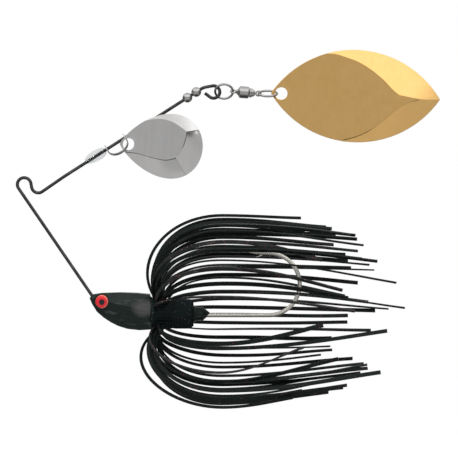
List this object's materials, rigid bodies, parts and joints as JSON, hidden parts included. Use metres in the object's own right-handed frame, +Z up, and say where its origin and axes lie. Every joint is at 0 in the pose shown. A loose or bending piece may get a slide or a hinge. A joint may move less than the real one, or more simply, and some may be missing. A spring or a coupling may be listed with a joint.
{
  "type": "spinnerbait",
  "caption": "Spinnerbait fishing lure: faceted lead head with eyes and silicone skirt on a hook, and a bent wire arm that carries a spinning blade on a clevis and a swivelled tail blade.",
  "frame": {"origin": "the line tie, inside the small bend of the wire where the line is tied", "axes": "+X from the line tie towards the tail blade and the hook's bend, +Z up from the head to the upper arm, +Y away from the viewer of the left side"},
  "size_m": [0.1368, 0.0507, 0.1144],
  "materials": {
    "gunmetal_wire": "dark satin spring-steel wire",
    "black_head": "gloss black paint over cut facets",
    "red_eye": "gloss red eye with a black pupil",
    "nickel_hook": "pale nickel-plated wire",
    "black_silicone": "black silicone with fine red flakes",
    "black_rubber": "matt ribbed rubber",
    "clear_plastic": "clear moulded plastic",
    "nickel": "polished nickel plate",
    "silver_blade": "bright stamped metal with fine brushing",
    "gold_blade": "bright gold-plated stamped metal"
  },
  "bodies": {
    "wire_form": {"wire_arm": "gunmetal_wire", "lead_head": "black_head", "left_eye": "red_eye", "right_eye": "red_eye", "hook": "nickel_hook", "skirt_core": "black_silicone", "skirt_collar": "black_rubber"},
    "spacer": {"spacer_bead": "clear_plastic"},
    "clevis": {"clevis": "nickel"},
    "front_blade": {"front_blade": "silver_blade"},
    "upper_ball": {"ball_bead_upper": "nickel"},
    "lower_ball": {"ball_bead_lower": "nickel"},
    "front_ring": {"swivel_front_ring": "nickel"},
    "swivel": {"swivel_front_eye": "nickel", "swivel_housing": "nickel", "swivel_cap": "nickel"},
    "bearing": {"swivel_ball_1": "nickel", "swivel_ball_2": "nickel", "swivel_ball_3": "nickel", "swivel_ball_4": "nickel", "swivel_ball_5": "nickel", "swivel_ball_6": "nickel"},
    "rotor": {"swivel_rotor": "nickel"},
    "rear_ring": {"swivel_rear_ring": "nickel"},
    "rear_blade": {"rear_blade": "gold_blade"},
    "strand_01": {"skirt_strand_01": "black_silicone"},
    "strand_02": {"skirt_strand_02": "black_silicone"},
    "strand_03": {"skirt_strand_03": "black_silicone"},
    "strand_04": {"skirt_strand_04": "black_silicone"},
    "strand_05": {"skirt_strand_05": "black_silicone"},
    "strand_06": {"skirt_strand_06": "black_silicone"},
    "strand_07": {"skirt_strand_07": "black_silicone"},
    "strand_08": {"skirt_strand_08": "black_silicone"},
    "strand_09": {"skirt_strand_09": "black_silicone"},
    "strand_10": {"skirt_strand_10": "black_silicone"},
    "strand_11": {"skirt_strand_11": "black_silicone"},
    "strand_12": {"skirt_strand_12": "black_silicone"},
    "strand_13": {"skirt_strand_13": "black_silicone"},
    "strand_14": {"skirt_strand_14": "black_silicone"},
    "strand_15": {"skirt_strand_15": "black_silicone"},
    "strand_16": {"skirt_strand_16": "black_silicone"},
    "strand_17": {"skirt_strand_17": "black_silicone"},
    "strand_18": {"skirt_strand_18": "black_silicone"},
    "strand_19": {"skirt_strand_19": "black_silicone"},
    "strand_20": {"skirt_strand_20": "black_silicone"},
    "strand_21": {"skirt_strand_21": "black_silicone"},
    "strand_22": {"skirt_strand_22": "black_silicone"},
    "strand_23": {"skirt_strand_23": "black_silicone"},
    "strand_24": {"skirt_strand_24": "black_silicone"},
    "strand_25": {"skirt_strand_25": "black_silicone"},
    "strand_26": {"skirt_strand_26": "black_silicone"},
    "strand_27": {"skirt_strand_27": "black_silicone"},
    "strand_28": {"skirt_strand_28": "black_silicone"},
    "strand_29": {"skirt_strand_29": "black_silicone"},
    "strand_30": {"skirt_strand_30": "black_silicone"},
    "strand_31": {"skirt_strand_31": "black_silicone"},
    "strand_32": {"skirt_strand_32": "black_silicone"},
    "strand_33": {"skirt_strand_33": "black_silicone"},
    "strand_34": {"skirt_strand_34": "black_silicone"}
  },
  "joints": [
    {"name": "spacer_slide", "type": "slide", "parent": "wire_form", "child": "spacer", "axis": [0.8425, 0, 0.5388], "range_m": [-0.009, 0.012]},
    {"name": "clevis_spin", "type": "hinge", "parent": "spacer", "child": "clevis", "pos_m": [0.02675, 0, 0.01026], "axis": [0.8425, 0, 0.5388], "continuous": true},
    {"name": "front_blade_swing", "type": "hinge", "parent": "clevis", "child": "front_blade", "pos_m": [0.03354, -0.00215, 0.01205], "axis": [-0.087, -0.9962, 0.0047], "range_deg": [-75, 40]},
    {"name": "upper_ball_slide", "type": "slide", "parent": "wire_form", "child": "upper_ball", "axis": [0.8425, 0, 0.5388], "range_m": [-0.008, 0.0002]},
    {"name": "lower_ball_slide", "type": "slide", "parent": "upper_ball", "child": "lower_ball", "axis": [0.8425, 0, 0.5388], "range_m": [-0.008, 0.0001]},
    {"name": "front_ring_swing", "type": "hinge", "parent": "wire_form", "child": "front_ring", "pos_m": [0.06115, 0, 0.02876], "axis": [0, -1, 0], "range_deg": [-22, 60]},
    {"name": "swivel_tilt", "type": "hinge", "parent": "front_ring", "child": "swivel", "pos_m": [0.06737, 0, 0.02885], "axis": [0, 0.6691, -0.7431], "range_deg": [-45, 45]},
    {"name": "rotor_spin", "type": "hinge", "parent": "swivel", "child": "rotor", "pos_m": [0.07243, 0, 0.02845], "axis": [0.9968, 0, -0.08], "continuous": true},
    {"name": "bearing_roll", "type": "hinge", "parent": "swivel", "child": "bearing", "pos_m": [0.07144, 0, 0.02853], "axis": [0.9968, 0, -0.08], "continuous": true},
    {"name": "rear_ring_tilt", "type": "hinge", "parent": "rotor", "child": "rear_ring", "pos_m": [0.0756, 0, 0.0282], "axis": [0, -0.9272, -0.3746], "range_deg": [-50, 50]},
    {"name": "rear_blade_swing", "type": "hinge", "parent": "rear_ring", "child": "rear_blade", "pos_m": [0.0816, 0, 0.0282], "axis": [0, 0.9272, 0.3746], "range_deg": [-60, 60]},
    {"name": "skirt_flare_01", "type": "hinge", "parent": "wire_form", "child": "strand_01", "pos_m": [0.0435, -0.00042, -0.03822], "axis": [0, -0.9957, -0.0923], "range_deg": [-7, 7], "stiffness_Nm_per_rad": 0.0002},
    {"name": "skirt_flare_02", "type": "hinge", "parent": "wire_form", "child": "strand_02", "pos_m": [0.0447, -0.00126, -0.03838], "axis": [0, -0.9618, -0.2737], "range_deg": [-7, 7], "stiffness_Nm_per_rad": 0.0002},
    {"name": "skirt_flare_03", "type": "hinge", "parent": "wire_form", "child": "strand_03", "pos_m": [0.0459, -0.00205, -0.03868], "axis": [0, -0.8952, -0.4457], "range_deg": [-7, 7], "stiffness_Nm_per_rad": 0.0002},
    {"name": "skirt_flare_04", "type": "hinge", "parent": "wire_form", "child": "strand_04", "pos_m": [0.0435, -0.00277, -0.03913], "axis": [0, -0.798, -0.6026], "range_deg": [-7, 7], "stiffness_Nm_per_rad": 0.0002},
    {"name": "skirt_flare_05", "type": "hinge", "parent": "wire_form", "child": "strand_05", "pos_m": [0.0447, -0.0034, -0.0397], "axis": [0, -0.6737, -0.739], "range_deg": [-7, 7], "stiffness_Nm_per_rad": 0.0002},
    {"name": "skirt_flare_06", "type": "hinge", "parent": "wire_form", "child": "strand_06", "pos_m": [0.0459, -0.00391, -0.04038], "axis": [0, -0.5264, -0.8502], "range_deg": [-7, 7], "stiffness_Nm_per_rad": 0.0002},
    {"name": "skirt_flare_07", "type": "hinge", "parent": "wire_form", "child": "strand_07", "pos_m": [0.0435, -0.00429, -0.04114], "axis": [0, -0.3612, -0.9325], "range_deg": [-7, 7], "stiffness_Nm_per_rad": 0.0002},
    {"name": "skirt_flare_08", "type": "hinge", "parent": "wire_form", "child": "strand_08", "pos_m": [0.0447, -0.00452, -0.04195], "axis": [0, -0.1838, -0.983], "range_deg": [-7, 7], "stiffness_Nm_per_rad": 0.0002},
    {"name": "skirt_flare_09", "type": "hinge", "parent": "wire_form", "child": "strand_09", "pos_m": [0.0459, -0.0046, -0.0428], "axis": [0, 0, -1], "range_deg": [-7, 7], "stiffness_Nm_per_rad": 0.0002},
    {"name": "skirt_flare_10", "type": "hinge", "parent": "wire_form", "child": "strand_10", "pos_m": [0.0435, -0.00452, -0.04365], "axis": [0, 0.1838, -0.983], "range_deg": [-7, 7], "stiffness_Nm_per_rad": 0.0002},
    {"name": "skirt_flare_11", "type": "hinge", "parent": "wire_form", "child": "strand_11", "pos_m": [0.0447, -0.00429, -0.04446], "axis": [0, 0.3612, -0.9325], "range_deg": [-7, 7], "stiffness_Nm_per_rad": 0.0002},
    {"name": "skirt_flare_12", "type": "hinge", "parent": "wire_form", "child": "strand_12", "pos_m": [0.0459, -0.00391, -0.04522], "axis": [0, 0.5264, -0.8502], "range_deg": [-7, 7], "stiffness_Nm_per_rad": 0.0002},
    {"name": "skirt_flare_13", "type": "hinge", "parent": "wire_form", "child": "strand_13", "pos_m": [0.0435, -0.0034, -0.0459], "axis": [0, 0.6737, -0.739], "range_deg": [-7, 7], "stiffness_Nm_per_rad": 0.0002},
    {"name": "skirt_flare_14", "type": "hinge", "parent": "wire_form", "child": "strand_14", "pos_m": [0.0447, -0.00277, -0.04647], "axis": [0, 0.798, -0.6026], "range_deg": [-7, 7], "stiffness_Nm_per_rad": 0.0002},
    {"name": "skirt_flare_15", "type": "hinge", "parent": "wire_form", "child": "strand_15", "pos_m": [0.0459, -0.00205, -0.04692], "axis": [0, 0.8952, -0.4457], "range_deg": [-7, 7], "stiffness_Nm_per_rad": 0.0002},
    {"name": "skirt_flare_16", "type": "hinge", "parent": "wire_form", "child": "strand_16", "pos_m": [0.0435, -0.00126, -0.04722], "axis": [0, 0.9618, -0.2737], "range_deg": [-7, 7], "stiffness_Nm_per_rad": 0.0002},
    {"name": "skirt_flare_17", "type": "hinge", "parent": "wire_form", "child": "strand_17", "pos_m": [0.0447, -0.00042, -0.04738], "axis": [0, 0.9957, -0.0923], "range_deg": [-7, 7], "stiffness_Nm_per_rad": 0.0002},
    {"name": "skirt_flare_18", "type": "hinge", "parent": "wire_form", "child": "strand_18", "pos_m": [0.0447, 0.00042, -0.03822], "axis": [0, -0.9957, 0.0923], "range_deg": [-7, 7], "stiffness_Nm_per_rad": 0.0002},
    {"name": "skirt_flare_19", "type": "hinge", "parent": "wire_form", "child": "strand_19", "pos_m": [0.0459, 0.00126, -0.03838], "axis": [0, -0.9618, 0.2737], "range_deg": [-7, 7], "stiffness_Nm_per_rad": 0.0002},
    {"name": "skirt_flare_20", "type": "hinge", "parent": "wire_form", "child": "strand_20", "pos_m": [0.0435, 0.00205, -0.03868], "axis": [0, -0.8952, 0.4457], "range_deg": [-7, 7], "stiffness_Nm_per_rad": 0.0002},
    {"name": "skirt_flare_21", "type": "hinge", "parent": "wire_form", "child": "strand_21", "pos_m": [0.0447, 0.00277, -0.03913], "axis": [0, -0.798, 0.6026], "range_deg": [-7, 7], "stiffness_Nm_per_rad": 0.0002},
    {"name": "skirt_flare_22", "type": "hinge", "parent": "wire_form", "child": "strand_22", "pos_m": [0.0459, 0.0034, -0.0397], "axis": [0, -0.6737, 0.739], "range_deg": [-7, 7], "stiffness_Nm_per_rad": 0.0002},
    {"name": "skirt_flare_23", "type": "hinge", "parent": "wire_form", "child": "strand_23", "pos_m": [0.0435, 0.00391, -0.04038], "axis": [0, -0.5264, 0.8502], "range_deg": [-7, 7], "stiffness_Nm_per_rad": 0.0002},
    {"name": "skirt_flare_24", "type": "hinge", "parent": "wire_form", "child": "strand_24", "pos_m": [0.0447, 0.00429, -0.04114], "axis": [0, -0.3612, 0.9325], "range_deg": [-7, 7], "stiffness_Nm_per_rad": 0.0002},
    {"name": "skirt_flare_25", "type": "hinge", "parent": "wire_form", "child": "strand_25", "pos_m": [0.0459, 0.00452, -0.04195], "axis": [0, -0.1838, 0.983], "range_deg": [-7, 7], "stiffness_Nm_per_rad": 0.0002},
    {"name": "skirt_flare_26", "type": "hinge", "parent": "wire_form", "child": "strand_26", "pos_m": [0.0435, 0.0046, -0.0428], "axis": [0, 0, 1], "range_deg": [-7, 7], "stiffness_Nm_per_rad": 0.0002},
    {"name": "skirt_flare_27", "type": "hinge", "parent": "wire_form", "child": "strand_27", "pos_m": [0.0447, 0.00452, -0.04365], "axis": [0, 0.1838, 0.983], "range_deg": [-7, 7], "stiffness_Nm_per_rad": 0.0002},
    {"name": "skirt_flare_28", "type": "hinge", "parent": "wire_form", "child": "strand_28", "pos_m": [0.0459, 0.00429, -0.04446], "axis": [0, 0.3612, 0.9325], "range_deg": [-7, 7], "stiffness_Nm_per_rad": 0.0002},
    {"name": "skirt_flare_29", "type": "hinge", "parent": "wire_form", "child": "strand_29", "pos_m": [0.0435, 0.00391, -0.04522], "axis": [0, 0.5264, 0.8502], "range_deg": [-7, 7], "stiffness_Nm_per_rad": 0.0002},
    {"name": "skirt_flare_30", "type": "hinge", "parent": "wire_form", "child": "strand_30", "pos_m": [0.0447, 0.0034, -0.0459], "axis": [0, 0.6737, 0.739], "range_deg": [-7, 7], "stiffness_Nm_per_rad": 0.0002},
    {"name": "skirt_flare_31", "type": "hinge", "parent": "wire_form", "child": "strand_31", "pos_m": [0.0459, 0.00277, -0.04647], "axis": [0, 0.798, 0.6026], "range_deg": [-7, 7], "stiffness_Nm_per_rad": 0.0002},
    {"name": "skirt_flare_32", "type": "hinge", "parent": "wire_form", "child": "strand_32", "pos_m": [0.0435, 0.00205, -0.04692], "axis": [0, 0.8952, 0.4457], "range_deg": [-7, 7], "stiffness_Nm_per_rad": 0.0002},
    {"name": "skirt_flare_33", "type": "hinge", "parent": "wire_form", "child": "strand_33", "pos_m": [0.0447, 0.00126, -0.04722], "axis": [0, 0.9618, 0.2737], "range_deg": [-7, 7], "stiffness_Nm_per_rad": 0.0002},
    {"name": "skirt_flare_34", "type": "hinge", "parent": "wire_form", "child": "strand_34", "pos_m": [0.0459, 0.00042, -0.04738], "axis": [0, 0.9957, 0.0923], "range_deg": [-7, 7], "stiffness_Nm_per_rad": 0.0002}
  ],
  "couplings": [
    {"joint": "bearing_roll", "follows": "rotor_spin", "ratio": 0.5},
    {"joint": "skirt_flare_02", "follows": "skirt_flare_01", "ratio": 1},
    {"joint": "skirt_flare_03", "follows": "skirt_flare_01", "ratio": 1},
    {"joint": "skirt_flare_04", "follows": "skirt_flare_01", "ratio": 1},
    {"joint": "skirt_flare_05", "follows": "skirt_flare_01", "ratio": 1},
    {"joint": "skirt_flare_06", "follows": "skirt_flare_01", "ratio": 1},
    {"joint": "skirt_flare_07", "follows": "skirt_flare_01", "ratio": 1},
    {"joint": "skirt_flare_08", "follows": "skirt_flare_01", "ratio": 1},
    {"joint": "skirt_flare_09", "follows": "skirt_flare_01", "ratio": 1},
    {"joint": "skirt_flare_10", "follows": "skirt_flare_01", "ratio": 1},
    {"joint": "skirt_flare_11", "follows": "skirt_flare_01", "ratio": 1},
    {"joint": "skirt_flare_12", "follows": "skirt_flare_01", "ratio": 1},
    {"joint": "skirt_flare_13", "follows": "skirt_flare_01", "ratio": 1},
    {"joint": "skirt_flare_14", "follows": "skirt_flare_01", "ratio": 1},
    {"joint": "skirt_flare_15", "follows": "skirt_flare_01", "ratio": 1},
    {"joint": "skirt_flare_16", "follows": "skirt_flare_01", "ratio": 1},
    {"joint": "skirt_flare_17", "follows": "skirt_flare_01", "ratio": 1},
    {"joint": "skirt_flare_18", "follows": "skirt_flare_01", "ratio": 1},
    {"joint": "skirt_flare_19", "follows": "skirt_flare_01", "ratio": 1},
    {"joint": "skirt_flare_20", "follows": "skirt_flare_01", "ratio": 1},
    {"joint": "skirt_flare_21", "follows": "skirt_flare_01", "ratio": 1},
    {"joint": "skirt_flare_22", "follows": "skirt_flare_01", "ratio": 1},
    {"joint": "skirt_flare_23", "follows": "skirt_flare_01", "ratio": 1},
    {"joint": "skirt_flare_24", "follows": "skirt_flare_01", "ratio": 1},
    {"joint": "skirt_flare_25", "follows": "skirt_flare_01", "ratio": 1},
    {"joint": "skirt_flare_26", "follows": "skirt_flare_01", "ratio": 1},
    {"joint": "skirt_flare_27", "follows": "skirt_flare_01", "ratio": 1},
    {"joint": "skirt_flare_28", "follows": "skirt_flare_01", "ratio": 1},
    {"joint": "skirt_flare_29", "follows": "skirt_flare_01", "ratio": 1},
    {"joint": "skirt_flare_30", "follows": "skirt_flare_01", "ratio": 1},
    {"joint": "skirt_flare_31", "follows": "skirt_flare_01", "ratio": 1},
    {"joint": "skirt_flare_32", "follows": "skirt_flare_01", "ratio": 1},
    {"joint": "skirt_flare_33", "follows": "skirt_flare_01", "ratio": 1},
    {"joint": "skirt_flare_34", "follows": "skirt_flare_01", "ratio": 1}
  ]
}
